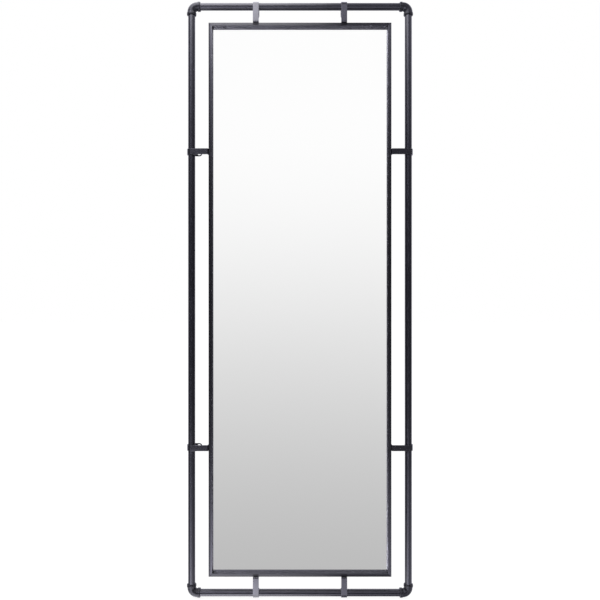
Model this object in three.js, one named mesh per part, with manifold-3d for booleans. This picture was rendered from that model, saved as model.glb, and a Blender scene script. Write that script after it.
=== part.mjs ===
// Leaning floor mirror: a tall mirror in a slim steel frame, held inside a larger frame of
// round pipe by bent straps. The pipe frame has a cast elbow at each corner.
//
// Millimetres. +Z is up and the glass faces -Y. The origin is on the floor, under the middle
// of the object's box. Inside the model, y = 0 is the plane of the pipes' axes; the exported
// group moves the whole object so that its own depth is centred on y = 0.

import * as THREE from "three";
import { mergeVertices } from "three/addons/utils/BufferGeometryUtils.js";
import Module from "manifold-3d";

const wasm = await Module();
wasm.setup();

// ---------------------------------------------------------------- driving dimensions

// Pipe frame
const pipeSpanX = 592; // between the axes of the left and right pipes
const pipeSpanZ = 1601; // between the axes of the bottom and top pipes
const pipeRadius = 9.5;
const pipeWall = 1.5;
const pipeEndGap = 0.5; // between a pipe's end and the shoulder of its socket

// Elbows
const socketGap = 0.3; // round a pipe in its elbow
const elbowWall = 1.6; // of the bent body, outside the socket
const elbowThroat = 4; // radius of the inside of the bend
const elbowShoulder = 1.5; // how far the bend's bore is narrower than the pipe
const neckLength = 1; // of straight body, from the bend to the band
const bandLength = 7.5; // of the thick band round each mouth
const bandRise = 1.5; // of the band above the body
const bandBevel = 1.1; // of the band's two edges, along the pipe

// Mirror frame, a hollow section with a rebate for the glass and the board
const frameGap = 38; // clear space between the pipes and the mirror frame
const frameProud = 0.3; // how far the front face stands in front of the straps
const faceWidth = 10;
const faceRound = 3; // how far the face falls away towards its outer edge
const rebateWidth = 6; // of the section beside the glass
const frameWall = 1.5;
const mitreGap = 0.15; // taken off each mitred end

// Glass and backing
const glassRecess = 12.5; // from the front of the frame to the front of the glass
const glassThickness = 4;
const boardThickness = 5;
const boardInset = 3.2; // from the back of the frame to the back of the board
const edgeGap = 0.5; // round the glass and the board in the rebate
const layerGap = 0.3; // between layers that lie against each other

// Straps
const strapWidth = 16;
const strapThickness = 2.4;
const strapGap = 0.3; // round the pipe and against the frame
const strapBend = 1.5; // inside radius where an arm turns into its foot
const strapOffsetX = 120; // of the top and bottom straps from the middle
const strapOffsetZ = 403; // of the side straps from the middle
const tailMargin = 4.5; // of a plain strap's tail past its screw's head
const footMargin = 2; // of a foot past its screw's head

// Hanging eyes, at the tails of the top and left straps
const eyeRadius = 5;
const eyeReach = 8.7; // from the joggle to the eye's centre
const joggleMargin = 2.5; // between the screw's head and the joggle
const joggleLength = 4;
const joggleDepth = 2.3; // how far the eye stands behind the rest of the strap

// Clips that hold the board
const clipThickness = 1.2;
const clipWidth = 12;
const clipInset = 193; // from the end of the mirror frame to a side clip
const clipMargin = 0.8; // between the frame's outer edge and a clip
const clipFoot = 6.2; // of a clip on the back of the frame
const clipSlope = 3; // of the run down to the board
const clipPad = 14; // of a clip on the board

// Screws
const strapScrew = { headRadius: 3.5, headHeight: 2.2, shankRadius: 1.8, grip: 7.5 };
const clipScrew = { headRadius: 2.7, headHeight: 1.8, shankRadius: 1.2, grip: 7 };
const crownProfile = [[1, 0.45], [0.6, 1]]; // of a head, in shares of its radius and height
const crossShare = 0.62; // length of a cross recess, as a share of the head's width
const crossWidth = 0.9;
const crossDepth = 1.1;
const setScrewRadius = 1.5;
const setScrewSink = 0.3; // below the top of the band
const setScrewSocket = 0.85; // radius of its hexagonal socket
const setScrewSocketDepth = 1.2;
const holeGap = 0.25; // round a screw in its hole
const seatGap = 0.15; // under a screw's head

// Facets. Pipe and screw counts are multiples of four: a facet then faces straight down and
// straight back.
const pipeSides = 24;
const screwSides = 12;
const eyeSides = 20;
const hexSides = 6;
const bendSteps = 6; // along an elbow
const faceSteps = 6; // across the rounded face
const strapBendSteps = 3;

// ---------------------------------------------------------------- derived sizes

const quarter = Math.PI / 2;
const yAxis = new THREE.Vector3(0, 1, 0);

const elbowBodyRadius = pipeRadius + socketGap + elbowWall;
const bandRadius = elbowBodyRadius + bandRise;
const bandReach = facetDistance(bandRadius, pipeSides); // from a pipe's axis
const bendRadius = elbowBodyRadius + elbowThroat;
const elbowMouth = neckLength + bandLength; // from the bend to a mouth
const pipeInset = bendRadius + pipeEndGap; // from a corner to a pipe's end
const setScrewInset = bendRadius + elbowMouth - bandLength / 2; // from a corner

const strapInner = pipeRadius + strapGap; // from the pipe's axis to the strap's inside
const strapOuter = strapInner + strapThickness;
const joggleStart = strapScrew.headRadius + joggleMargin; // from the pipe's axis
const joggleEnd = joggleStart + joggleLength;
const eyeOffset = joggleEnd + eyeReach;
const eyeBackY = strapOuter + joggleDepth;

const axisBottomZ = Math.max(bandReach, strapOuter);
const axisTopZ = axisBottomZ + pipeSpanZ;
const middleZ = (axisBottomZ + axisTopZ) / 2;

const frameOffset = pipeRadius + frameGap; // from a pipe's axis to the mirror frame
const frameHalfX = pipeSpanX / 2 - frameOffset;
const frameHalfZ = pipeSpanZ / 2 - frameOffset;
const frameFrontY = -strapOuter - frameProud;
const faceOuterY = frameFrontY + faceRound; // where the face meets the outer side
const glassFrontY = frameFrontY + glassRecess;
const lipBackY = glassFrontY - layerGap;
const boardFrontY = glassFrontY + glassThickness + layerGap;
const boardBackY = boardFrontY + boardThickness;
const frameBackY = boardBackY + boardInset;
const frameScrewY = (faceOuterY + lipBackY) / 2;
const footBackY = frameScrewY + strapScrew.headRadius + footMargin;

const clipFrontY = frameBackY + layerGap;
const clipBackY = clipFrontY + clipThickness;
const clipOffsetZ = frameHalfZ - clipInset;

const frontY = Math.min(frameFrontY, -bandReach);
const backY = Math.max(
  bandReach,
  clipBackY + seatGap + clipScrew.headHeight,
  strapOuter + seatGap + strapScrew.headHeight,
  eyeBackY,
);
const centreY = (frontY + backY) / 2;

// ---------------------------------------------------------------- materials

function steel(color, roughness) {
  return new THREE.MeshStandardMaterial({ color, roughness, metalness: 0.6 });
}

const gunmetal = steel(0x35343a, 0.42);
const frameBlack = steel(0x333338, 0.4);
const strapGrey = steel(0x3a3a3f, 0.38);
const screwBlack = steel(0x1f1f22, 0.45);
const zincPlate = new THREE.MeshStandardMaterial({
  color: 0x9a9b9c,
  roughness: 0.35,
  metalness: 0.9,
});
const silveredGlass = new THREE.MeshStandardMaterial({
  color: 0xe6eaeb,
  roughness: 0.02,
  metalness: 1,
});
const hardboard = new THREE.MeshStandardMaterial({
  color: 0x8a6a48,
  roughness: 0.85,
  metalness: 0,
});

// ---------------------------------------------------------------- geometry helpers

// Distance from the axis to the middle of a facet, for corners at the given radius.
function facetDistance(radius, sides) {
  return radius * Math.cos(Math.PI / sides);
}

// Radius of the corners, for facets whose middles are at the given distance.
function cornerRadius(distance, sides) {
  return distance / Math.cos(Math.PI / sides);
}

function solidOf(geometry) {
  const bare = geometry.clone();
  bare.deleteAttribute("normal");
  bare.deleteAttribute("uv");
  const merged = mergeVertices(bare, 1e-4);
  return new wasm.Manifold(
    new wasm.Mesh({
      numProp: 3,
      vertProperties: new Float32Array(merged.attributes.position.array),
      triVerts: new Uint32Array(merged.index.array),
    }),
  );
}

function geometryOf(solid) {
  const mesh = solid.getMesh();
  const geometry = new THREE.BufferGeometry();
  geometry.setAttribute("position", new THREE.BufferAttribute(mesh.vertProperties, 3));
  geometry.setIndex(new THREE.BufferAttribute(mesh.triVerts, 1));
  const flat = geometry.toNonIndexed();
  flat.computeVertexNormals();
  return flat;
}

function cut(geometry, cutters) {
  const left = cutters.reduce(
    (solid, cutter) => solid.subtract(solidOf(cutter)),
    solidOf(geometry),
  );
  return geometryOf(left);
}

// A round solid about +Y from a profile of [radius, y] pairs.
function turned(profile, sides) {
  const points = profile.map(([radius, y]) => new THREE.Vector2(radius, y));
  return new THREE.LatheGeometry(points, sides, Math.PI / sides, 2 * Math.PI);
}

// A round cutter along +Y whose facets all clear the radius.
function drill(radius, low, high, sides) {
  const corner = cornerRadius(radius, sides);
  return turned([[0, low], [corner, low], [corner, high], [0, high]], sides);
}

function extruded(points, depth) {
  return new THREE.ExtrudeGeometry(new THREE.Shape(points), { depth, bevelEnabled: false });
}

// Points on an arc, both ends included, in equal steps.
function arc(aboutX, aboutY, radius, from, to, steps) {
  return Array.from({ length: steps + 1 }, (_, i) => {
    const angle = from + ((to - from) * i) / steps;
    return new THREE.Vector2(
      aboutX + radius * Math.cos(angle),
      aboutY + radius * Math.sin(angle),
    );
  });
}

// A closed body whose skin joins each ring of points to the next, and the last to the first.
function ringed(rings) {
  const sides = rings[0].length;
  const index = [];
  rings.forEach((_, k) => {
    const start = k * sides;
    const next = ((k + 1) % rings.length) * sides;
    for (let i = 0; i < sides; i += 1) {
      const j = (i + 1) % sides;
      index.push(start + i, next + i, next + j, start + i, next + j, start + j);
    }
  });
  const positions = rings.flat().flatMap((point) => point.toArray());
  const geometry = new THREE.BufferGeometry();
  geometry.setAttribute("position", new THREE.Float32BufferAttribute(positions, 3));
  geometry.setIndex(index);
  return geometry;
}

// ---------------------------------------------------------------- pieces

// A pipe along Z about the origin, with a hole at the back for each strap's screw.
function pipeGeometry(length, screwOffset) {
  const half = length / 2;
  const bore = pipeRadius - pipeWall;
  const tube = turned(
    [[bore, -half], [pipeRadius, -half], [pipeRadius, half], [bore, half], [bore, -half]],
    pipeSides,
  ).rotateX(quarter);
  const holes = [-screwOffset, screwOffset].map((z) =>
    drill(strapScrew.shankRadius + holeGap, 0, pipeRadius + pipeWall, screwSides).translate(
      0,
      0,
      z,
    ),
  );
  return cut(tube, holes);
}

// Points round an elbow's centre line. The line starts along +X, turns through a quarter
// turn and leaves along +Z; straight is the distance along the leg, past the bend.
function elbowRing(turn, straight, radius) {
  const out = new THREE.Vector3(-Math.sin(turn), 0, -Math.cos(turn));
  const centre = new THREE.Vector3(bendRadius, 0, bendRadius).addScaledVector(out, bendRadius);
  if (turn === 0) centre.x += straight;
  if (turn === quarter) centre.z += straight;
  return Array.from({ length: pipeSides }, (_, i) => {
    const angle = ((i + 0.5) * 2 * Math.PI) / pipeSides;
    return centre
      .clone()
      .addScaledVector(out, radius * Math.cos(angle))
      .addScaledVector(yAxis, radius * Math.sin(angle));
  });
}

// An elbow with its corner at the origin and its mouths along +X and +Z.
function elbowGeometry() {
  const turns = Array.from({ length: bendSteps + 1 }, (_, i) => (quarter * i) / bendSteps);
  const band = [
    [elbowMouth, elbowBodyRadius],
    [elbowMouth - bandBevel, bandRadius],
    [neckLength + bandBevel, bandRadius],
    [neckLength, elbowBodyRadius],
  ];
  const socket = cornerRadius(pipeRadius + socketGap, pipeSides);
  const bore = pipeRadius - elbowShoulder;
  const outside = [
    ...band.map(([straight, radius]) => elbowRing(0, straight, radius)),
    ...turns.map((turn) => elbowRing(turn, 0, elbowBodyRadius)),
    ...band.toReversed().map(([straight, radius]) => elbowRing(quarter, straight, radius)),
  ];
  const inside = [
    elbowRing(quarter, elbowMouth, socket),
    elbowRing(quarter, 0, socket),
    ...turns.toReversed().map((turn) => elbowRing(turn, 0, bore)),
    elbowRing(0, 0, socket),
    elbowRing(0, elbowMouth, socket),
  ];
  const holes = setScrewPlaces().map((place) =>
    drill(setScrewRadius + holeGap, 0, bandRadius + elbowWall, screwSides).translate(
      place.x,
      0,
      place.z,
    ),
  );
  return cut(ringed([...outside, ...inside]), holes);
}

// The axes of an elbow's two set screws, from its corner: the middles of its bands.
function setScrewPlaces() {
  return [new THREE.Vector3(setScrewInset, 0, 0), new THREE.Vector3(0, 0, setScrewInset)];
}

// A headless screw along +Y, from the pipe out to just under the band's surface.
function setScrewGeometry() {
  const low = pipeRadius + socketGap;
  const high = bandReach - setScrewSink;
  const body = turned(
    [[0, low], [setScrewRadius, low], [setScrewRadius, high], [0, high]],
    screwSides,
  );
  const socket = drill(
    setScrewSocket,
    high - setScrewSocketDepth,
    high + setScrewSocketDepth,
    hexSides,
  );
  return cut(body, [socket]);
}

// The mirror frame's section: x runs inwards from the outer side and y is the depth. The
// face falls away towards the outer side.
function frameSection() {
  const roundRadius = (faceWidth ** 2 + faceRound ** 2) / (2 * faceRound);
  const roundAngle = Math.asin(faceWidth / roundRadius);
  const face = arc(
    faceWidth,
    frameFrontY + roundRadius,
    roundRadius,
    -quarter - roundAngle,
    -quarter,
    faceSteps,
  );
  const outline = [
    new THREE.Vector2(0, frameBackY),
    ...face,
    new THREE.Vector2(faceWidth, lipBackY),
    new THREE.Vector2(rebateWidth, lipBackY),
    new THREE.Vector2(rebateWidth, frameBackY),
  ];
  const cavity = [
    new THREE.Vector2(frameWall, frameBackY - frameWall),
    new THREE.Vector2(frameWall, faceOuterY + frameWall),
    new THREE.Vector2(faceWidth - frameWall, faceOuterY + frameWall),
    new THREE.Vector2(faceWidth - frameWall, lipBackY - frameWall),
    new THREE.Vector2(rebateWidth - frameWall, lipBackY - frameWall),
    new THREE.Vector2(rebateWidth - frameWall, frameBackY - frameWall),
  ];
  const section = new THREE.Shape(outline);
  section.holes.push(new THREE.Path(cavity));
  return section;
}

// A member of the mirror frame along X, mitred at both ends, with its outer side on z = 0 and
// its section below. Screws enter its outer side at screwXs and its back at clipXs.
function memberGeometry(halfLength, screwXs, clipXs) {
  const member = new THREE.ExtrudeGeometry(frameSection(), { depth: 1, bevelEnabled: false });
  const position = member.attributes.position;
  for (let i = 0; i < position.count; i += 1) {
    const inward = position.getX(i);
    const side = position.getZ(i) > 0 ? 1 : -1;
    position.setXYZ(i, side * (halfLength - inward - mitreGap), position.getY(i), -inward);
  }
  const strapHoles = screwXs.map((x) =>
    drill(strapScrew.shankRadius + holeGap, -2 * frameWall, frameWall, screwSides)
      .rotateX(quarter)
      .translate(x, frameScrewY, 0),
  );
  const clipHoles = clipXs.map((x) =>
    drill(
      clipScrew.shankRadius + holeGap,
      frameBackY - 2 * frameWall,
      frameBackY + frameWall,
      screwSides,
    ).translate(x, 0, -rebateWidth / 2),
  );
  return cut(member, [...strapHoles, ...clipHoles]);
}

// A sheet that fills the rebate, from y = 0 back.
function sheetGeometry(thickness) {
  const margin = 2 * (rebateWidth + edgeGap);
  return new THREE.BoxGeometry(
    2 * frameHalfX - margin,
    thickness,
    2 * frameHalfZ - margin,
  ).translate(0, thickness / 2, 0);
}

// A strap's edge-on outline: x runs from the pipe's axis to the mirror frame. The arm lies at
// the front, the foot on the frame and the tail behind the pipe.
function strapOutline(tailOutside, tailInside) {
  const footOuter = frameOffset - strapGap;
  const footInner = footOuter - strapThickness;
  const halfFacet = Math.PI / pipeSides;
  const bend = (radius) =>
    arc(footInner - strapBend, -strapInner + strapBend, radius, -quarter, 0, strapBendSteps);
  const wrap = (distance) =>
    arc(
      0,
      0,
      cornerRadius(distance, pipeSides),
      -quarter - halfFacet,
      -3 * quarter + halfFacet,
      pipeSides / 2 - 1,
    );
  return [
    new THREE.Vector2(footInner, footBackY),
    new THREE.Vector2(footOuter, footBackY),
    ...bend(strapBend + strapThickness).toReversed(),
    ...wrap(strapOuter),
    ...tailOutside,
    ...tailInside,
    ...wrap(strapInner).toReversed(),
    ...bend(strapBend),
  ];
}

function plainStrapOutline() {
  const end = strapScrew.headRadius + tailMargin;
  return strapOutline(
    [new THREE.Vector2(end, strapOuter)],
    [new THREE.Vector2(end, strapInner)],
  );
}

function eyeStrapOutline() {
  return strapOutline(
    [
      new THREE.Vector2(joggleStart, strapOuter),
      new THREE.Vector2(joggleEnd, eyeBackY),
      new THREE.Vector2(eyeOffset, eyeBackY),
    ],
    [
      new THREE.Vector2(eyeOffset, eyeBackY - strapThickness),
      new THREE.Vector2(joggleEnd, eyeBackY - strapThickness),
      new THREE.Vector2(joggleStart, strapInner),
    ],
  );
}

// The round end of a strap's tail, with the eye through it.
function withEye(strap) {
  const half = strapWidth / 2;
  const outline = [
    new THREE.Vector2(joggleEnd, -half),
    ...arc(eyeOffset, 0, half, -quarter, quarter, eyeSides / 2),
    new THREE.Vector2(joggleEnd, half),
  ];
  const plate = extruded(outline, strapThickness).rotateX(quarter).translate(0, eyeBackY, 0);
  const eye = drill(
    eyeRadius,
    eyeBackY - 2 * strapThickness,
    eyeBackY + strapThickness,
    eyeSides,
  ).translate(eyeOffset, 0, 0);
  return strap.add(solidOf(plate)).subtract(solidOf(eye));
}

// A strap about a pipe that runs along Z, with its mirror frame towards +X.
function strapGeometry(hasEye) {
  const outline = hasEye ? eyeStrapOutline() : plainStrapOutline();
  const bent = solidOf(extruded(outline, strapWidth).translate(0, 0, -strapWidth / 2));
  const hole = strapScrew.shankRadius + holeGap;
  const pipeHole = drill(hole, 0, strapOuter + strapThickness, screwSides);
  const frameHole = drill(
    hole,
    frameOffset - strapGap - 2 * strapThickness,
    frameOffset + strapThickness,
    screwSides,
  )
    .rotateZ(-quarter)
    .translate(0, frameScrewY, 0);
  const strap = hasEye ? withEye(bent) : bent;
  return geometryOf(strap.subtract(solidOf(pipeHole)).subtract(solidOf(frameHole)));
}

// A screw along Y: its head's seat is at y = 0 and its crown, with a cross recess, towards +Y.
function screwGeometry({ headRadius, headHeight, shankRadius, grip }) {
  const crown = crownProfile.map(([radius, height]) => [
    radius * headRadius,
    height * headHeight,
  ]);
  const body = turned(
    [
      [0, -grip],
      [shankRadius / 2, -grip],
      [shankRadius, shankRadius - grip],
      [shankRadius, 0],
      [headRadius, 0],
      ...crown,
      [0, headHeight],
    ],
    screwSides,
  );
  const bars = [0, quarter].map((turn) =>
    new THREE.BoxGeometry(2 * headRadius * crossShare, 2 * crossDepth, crossWidth)
      .rotateY(turn)
      .translate(0, headHeight, 0),
  );
  return cut(body, bars);
}

// A clip along x, from the outer side of the mirror frame inwards: its foot lies on the
// frame's back and its pad on the board.
function clipGeometry() {
  const footEnd = clipMargin + clipFoot;
  const padStart = footEnd + clipSlope;
  const padEnd = padStart + clipPad;
  const padFrontY = boardBackY + layerGap;
  const outline = [
    [clipMargin, clipFrontY],
    [footEnd, clipFrontY],
    [padStart, padFrontY],
    [padEnd, padFrontY],
    [padEnd, padFrontY + clipThickness],
    [padStart + clipThickness / 2, padFrontY + clipThickness],
    [footEnd + clipThickness / 2, clipBackY],
    [clipMargin, clipBackY],
  ].map(([x, y]) => new THREE.Vector2(x, y));
  const clip = extruded(outline, clipWidth).translate(0, 0, -clipWidth / 2);
  const hole = drill(
    clipScrew.shankRadius + holeGap,
    clipFrontY - clipThickness,
    clipBackY + clipThickness,
    screwSides,
  ).translate(rebateWidth / 2, 0, 0);
  return cut(clip, [hole]);
}

// ---------------------------------------------------------------- assembly

const object = new THREE.Group();
object.name = "leaning_floor_mirror";

function add(name, geometry, material, position, rotation = [0, 0, 0]) {
  const mesh = new THREE.Mesh(geometry, material);
  mesh.name = name;
  mesh.position.set(...position);
  mesh.rotation.set(...rotation);
  object.add(mesh);
}

// A vector along +X after a turn about Y.
function turnedX(length, turn) {
  return new THREE.Vector3(length, 0, 0).applyAxisAngle(yAxis, turn);
}

function addPipes() {
  const across = pipeGeometry(pipeSpanX - 2 * pipeInset, strapOffsetX);
  const upright = pipeGeometry(pipeSpanZ - 2 * pipeInset, strapOffsetZ);
  add("pipe_top", across, gunmetal, [0, 0, axisTopZ], [0, quarter, 0]);
  add("pipe_bottom", across, gunmetal, [0, 0, axisBottomZ], [0, quarter, 0]);
  add("pipe_left", upright, gunmetal, [-pipeSpanX / 2, 0, middleZ]);
  add("pipe_right", upright, gunmetal, [pipeSpanX / 2, 0, middleZ]);
}

function addElbows() {
  const elbow = elbowGeometry();
  const screw = setScrewGeometry();
  const corners = [
    ["bottom_left", -pipeSpanX / 2, axisBottomZ, 0],
    ["bottom_right", pipeSpanX / 2, axisBottomZ, -quarter],
    ["top_right", pipeSpanX / 2, axisTopZ, 2 * quarter],
    ["top_left", -pipeSpanX / 2, axisTopZ, quarter],
  ];
  for (const [where, x, z, turn] of corners) {
    add(`elbow_${where}`, elbow, gunmetal, [x, 0, z], [0, turn, 0]);
    for (const place of setScrewPlaces()) {
      place.applyAxisAngle(yAxis, turn);
      const pipe = Math.abs(place.x) > Math.abs(place.z) ? "across" : "upright";
      add(`set_screw_${where}_${pipe}`, screw, screwBlack, [x + place.x, 0, z + place.z]);
    }
  }
}

function addMirrorFrame() {
  const rail = memberGeometry(frameHalfX, [-strapOffsetX, strapOffsetX], [0]);
  const stile = memberGeometry(
    frameHalfZ,
    [-strapOffsetZ, strapOffsetZ],
    [-clipOffsetZ, clipOffsetZ],
  );
  add("frame_rail_top", rail, frameBlack, [0, 0, middleZ + frameHalfZ]);
  add("frame_rail_bottom", rail, frameBlack, [0, 0, middleZ - frameHalfZ], [0, 2 * quarter, 0]);
  add("frame_stile_left", stile, frameBlack, [-frameHalfX, 0, middleZ], [0, -quarter, 0]);
  add("frame_stile_right", stile, frameBlack, [frameHalfX, 0, middleZ], [0, quarter, 0]);
}

function addGlassAndBoard() {
  add("mirror_glass", sheetGeometry(glassThickness), silveredGlass, [0, glassFrontY, middleZ]);
  add("backing_board", sheetGeometry(boardThickness), hardboard, [0, boardFrontY, middleZ]);
}

function addStraps() {
  const plain = strapGeometry(false);
  const eyed = strapGeometry(true);
  const screw = screwGeometry(strapScrew);
  const seatX = frameOffset - strapGap - strapThickness - seatGap;
  const halfX = pipeSpanX / 2;
  const places = [
    ["top_left", eyed, -strapOffsetX, axisTopZ, quarter],
    ["top_right", eyed, strapOffsetX, axisTopZ, quarter],
    ["bottom_left", plain, -strapOffsetX, axisBottomZ, -quarter],
    ["bottom_right", plain, strapOffsetX, axisBottomZ, -quarter],
    ["left_upper", eyed, -halfX, middleZ + strapOffsetZ, 0],
    ["left_lower", eyed, -halfX, middleZ - strapOffsetZ, 0],
    ["right_upper", plain, halfX, middleZ + strapOffsetZ, 2 * quarter],
    ["right_lower", plain, halfX, middleZ - strapOffsetZ, 2 * quarter],
  ];
  for (const [where, strap, x, z, turn] of places) {
    add(`strap_${where}`, strap, strapGrey, [x, 0, z], [0, turn, 0]);
    add(`pipe_screw_${where}`, screw, screwBlack, [x, strapOuter + seatGap, z]);
    const seat = turnedX(seatX, turn);
    const towardsPipe = new THREE.Quaternion().setFromUnitVectors(yAxis, turnedX(-1, turn));
    const facing = new THREE.Euler().setFromQuaternion(towardsPipe);
    add(
      `frame_screw_${where}`,
      screw,
      screwBlack,
      [x + seat.x, frameScrewY, z + seat.z],
      [facing.x, facing.y, facing.z],
    );
  }
}

function addClips() {
  const clip = clipGeometry();
  const screw = screwGeometry(clipScrew);
  const places = [
    ["top", 0, middleZ + frameHalfZ, quarter],
    ["bottom", 0, middleZ - frameHalfZ, -quarter],
    ["left_upper", -frameHalfX, middleZ + clipOffsetZ, 0],
    ["left_lower", -frameHalfX, middleZ - clipOffsetZ, 0],
    ["right_upper", frameHalfX, middleZ + clipOffsetZ, 2 * quarter],
    ["right_lower", frameHalfX, middleZ - clipOffsetZ, 2 * quarter],
  ];
  for (const [where, x, z, turn] of places) {
    add(`clip_${where}`, clip, zincPlate, [x, 0, z], [0, turn, 0]);
    const hole = turnedX(rebateWidth / 2, turn);
    add(`clip_screw_${where}`, screw, zincPlate, [x + hole.x, clipBackY + seatGap, z + hole.z]);
  }
}

addPipes();
addElbows();
addMirrorFrame();
addGlassAndBoard();
addStraps();
addClips();
object.position.y = -centreY;

export default object;
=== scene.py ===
import math

import bmesh
import bpy
from mathutils import Euler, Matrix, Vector


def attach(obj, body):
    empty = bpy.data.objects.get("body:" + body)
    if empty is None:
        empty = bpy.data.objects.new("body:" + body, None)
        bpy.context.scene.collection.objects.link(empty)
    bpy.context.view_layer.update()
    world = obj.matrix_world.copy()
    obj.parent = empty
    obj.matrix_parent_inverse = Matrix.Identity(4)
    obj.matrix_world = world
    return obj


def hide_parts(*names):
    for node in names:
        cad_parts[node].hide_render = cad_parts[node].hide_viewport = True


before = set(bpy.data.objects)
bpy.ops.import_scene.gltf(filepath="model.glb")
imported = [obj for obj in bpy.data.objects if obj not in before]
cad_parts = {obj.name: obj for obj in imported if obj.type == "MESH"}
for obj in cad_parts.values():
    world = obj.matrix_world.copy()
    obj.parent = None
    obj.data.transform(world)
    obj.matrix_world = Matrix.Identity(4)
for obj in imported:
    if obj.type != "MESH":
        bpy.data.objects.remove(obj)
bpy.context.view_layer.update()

scene = bpy.context.scene
scene.view_settings.view_transform = "Standard"

MM = 0.001
NEAR = 0.02  # millimetres within which two places count as one
QUARTER = math.pi / 2

# ------------------------------------------------------------------ sizes, in millimetres

AXIS_Y = -1.58018  # plane of the pipes' axes
SPAN_X, SPAN_Z = 592.0, 1601.0  # between pipe axes
AXIS_BOTTOM = 12.79  # height of the bottom pipe's axis
MIDDLE_Z = AXIS_BOTTOM + SPAN_Z / 2
AXIS_TOP = AXIS_BOTTOM + SPAN_Z

PIPE_RADIUS, PIPE_WALL = 9.5, 1.5
PIPE_INSET = 15.9  # from a corner of the pipe frame to a pipe's end

BEND_RADIUS, BODY_RADIUS, SOCKET_RADIUS, BORE_RADIUS = 15.4, 11.4, 9.8, 8.0
LEG = 23.9  # from a corner to an elbow's mouth
# An elbow's skin along one leg, and the inside of its mouth: distance from the corner, radius
BAND = [
    (LEG, BODY_RADIUS), (23.8, 11.9), (23.45, 12.4), (22.9, 12.7), (22.4, 12.78),
    (17.9, 12.78), (17.4, 12.7), (16.9, 12.4), (16.6, 11.95), (16.4, 11.6), (16.0, 11.43),
    (BEND_RADIUS, BODY_RADIUS),
]
MOUTH = [
    (LEG, 10.2), (23.5, SOCKET_RADIUS), (BEND_RADIUS, SOCKET_RADIUS),
    (BEND_RADIUS, BORE_RADIUS),
]
BAND_MIDDLE = 20.15  # from a corner, where the set screws are
SET_SCREW_RADIUS, SET_SCREW_FRONT, SET_SCREW_BACK = 1.5, 9.8, 12.45
DRILL_RADIUS, DRILL_FRONT, DRILL_BACK = 1.75, 9.6, 13.6  # for the set screws

FRAME_HALF_X, FRAME_HALF_Z = 248.5, 753.0
FACE_WIDTH, FACE_DROP, REBATE = 10.0, 3.0, 6.0
FRONT, LIP_BACK, BACK = -12.5, -0.3, 12.5  # depths from the pipes' axes
MITRE_GAP = 0.15

GLASS_FRONT, GLASS_THICK = 0.0, 4.0
BOARD_FRONT, BOARD_THICK = 4.3, 5.0
SHEET_HALF_X, SHEET_HALF_Z = 242.0, 746.5

STRAP_WIDTH, STRAP_THICK, STRAP_CORNER = 16.0, 2.4, 2.2
STRAP_INNER = 9.8  # from a pipe's axis to the strap round it
STRAP_END = 8.0  # how far a plain strap reaches behind the pipe, past its axis
FOOT_X, FOOT_BACK, FOOT_BEND = 44.8, 0.6, 1.5
EYE_X, EYE_RADIUS, EYE_STEP = 18.7, 5.0, 2.3
STEP_FROM, STEP_TO = 6.0, 10.0  # where a strap with an eye steps back, past the axis
STRAP_X, STRAP_Z = 120.0, 403.0  # from the middle of the mirror
FRAME_SCREW_Y = -4.9
SCREW_GAP = 0.15  # between a screw's head and what it holds

CLIP_WIDTH, CLIP_THICK, CLIP_Z = 12.0, 1.2, 560.0
CLIP_UNDER, CLIP_DROP = 12.8, 3.2  # depth of its foot, and from there down to the board
# Along a clip from the frame's outer edge: its end, the two bends, the other end
CLIP_FROM, CLIP_BEND, CLIP_FLAT, CLIP_TO = 0.8, 7.0, 10.0, 24.0
CLIP_SCREW_X = 3.0


# ------------------------------------------------------------------ modelling by hand

def only(piece):
    """Selects one piece and makes it active."""
    bpy.ops.object.select_all(action="DESELECT")
    piece.select_set(True)
    bpy.context.view_layer.objects.active = piece


def added(name):
    """The primitive that was just added, with its name and its size applied."""
    piece = bpy.context.object
    piece.name = piece.data.name = name
    only(piece)
    bpy.ops.object.transform_apply(location=True, rotation=True, scale=True)
    return piece


def edit(piece):
    only(piece)
    bpy.ops.object.mode_set(mode="EDIT")


def done():
    bpy.ops.object.mode_set(mode="OBJECT")


def middle(item):
    """The middle of a vertex, an edge or a face, in millimetres."""
    if isinstance(item, bmesh.types.BMVert):
        return item.co / MM
    return sum((v.co for v in item.verts), Vector()) / len(item.verts) / MM


def choose(kind, test):
    """In edit mode, selects the vertices, edges or faces that pass a test of their middle."""
    bpy.ops.mesh.select_mode(type=kind)
    bpy.ops.mesh.select_all(action="DESELECT")
    mesh = bpy.context.edit_object.data
    shape = bmesh.from_edit_mesh(mesh)
    items = {"VERT": shape.verts, "EDGE": shape.edges, "FACE": shape.faces}[kind]
    for item in items:
        if test(item):
            item.select_set(True)
    bmesh.update_edit_mesh(mesh)


def at(x=None, y=None, z=None):
    """A test that all of an item's vertices lie at these places, in millimetres."""
    def test(item):
        verts = [item] if isinstance(item, bmesh.types.BMVert) else item.verts
        return all(
            want is None or abs(v.co[k] / MM - want) < NEAR
            for v in verts
            for k, want in enumerate((x, y, z))
        )
    return test


def move(x=0, y=0, z=0):
    bpy.ops.transform.translate(value=(x * MM, y * MM, z * MM))


def draw_out(x=0, y=0, z=0):
    """Extrudes the selected edges by a distance in millimetres."""
    bpy.ops.mesh.extrude_edges_move(
        TRANSFORM_OT_translate={"value": (x * MM, y * MM, z * MM)}
    )


def push(y):
    """Extrudes the selected faces along Y by a distance in millimetres."""
    bpy.ops.mesh.extrude_region_move(TRANSFORM_OT_translate={"value": (0, y * MM, 0)})


def pinch(share, y):
    """Scales what is selected across Y, with its middle on the Y axis."""
    bpy.ops.transform.resize(value=(share, 1, share), center_override=(0, y * MM, 0))


def spin(steps, angle, centre, axis):
    bpy.ops.mesh.spin(
        steps=steps, angle=angle, center=Vector(centre) * MM, axis=axis, use_auto_merge=False
    )


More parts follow.
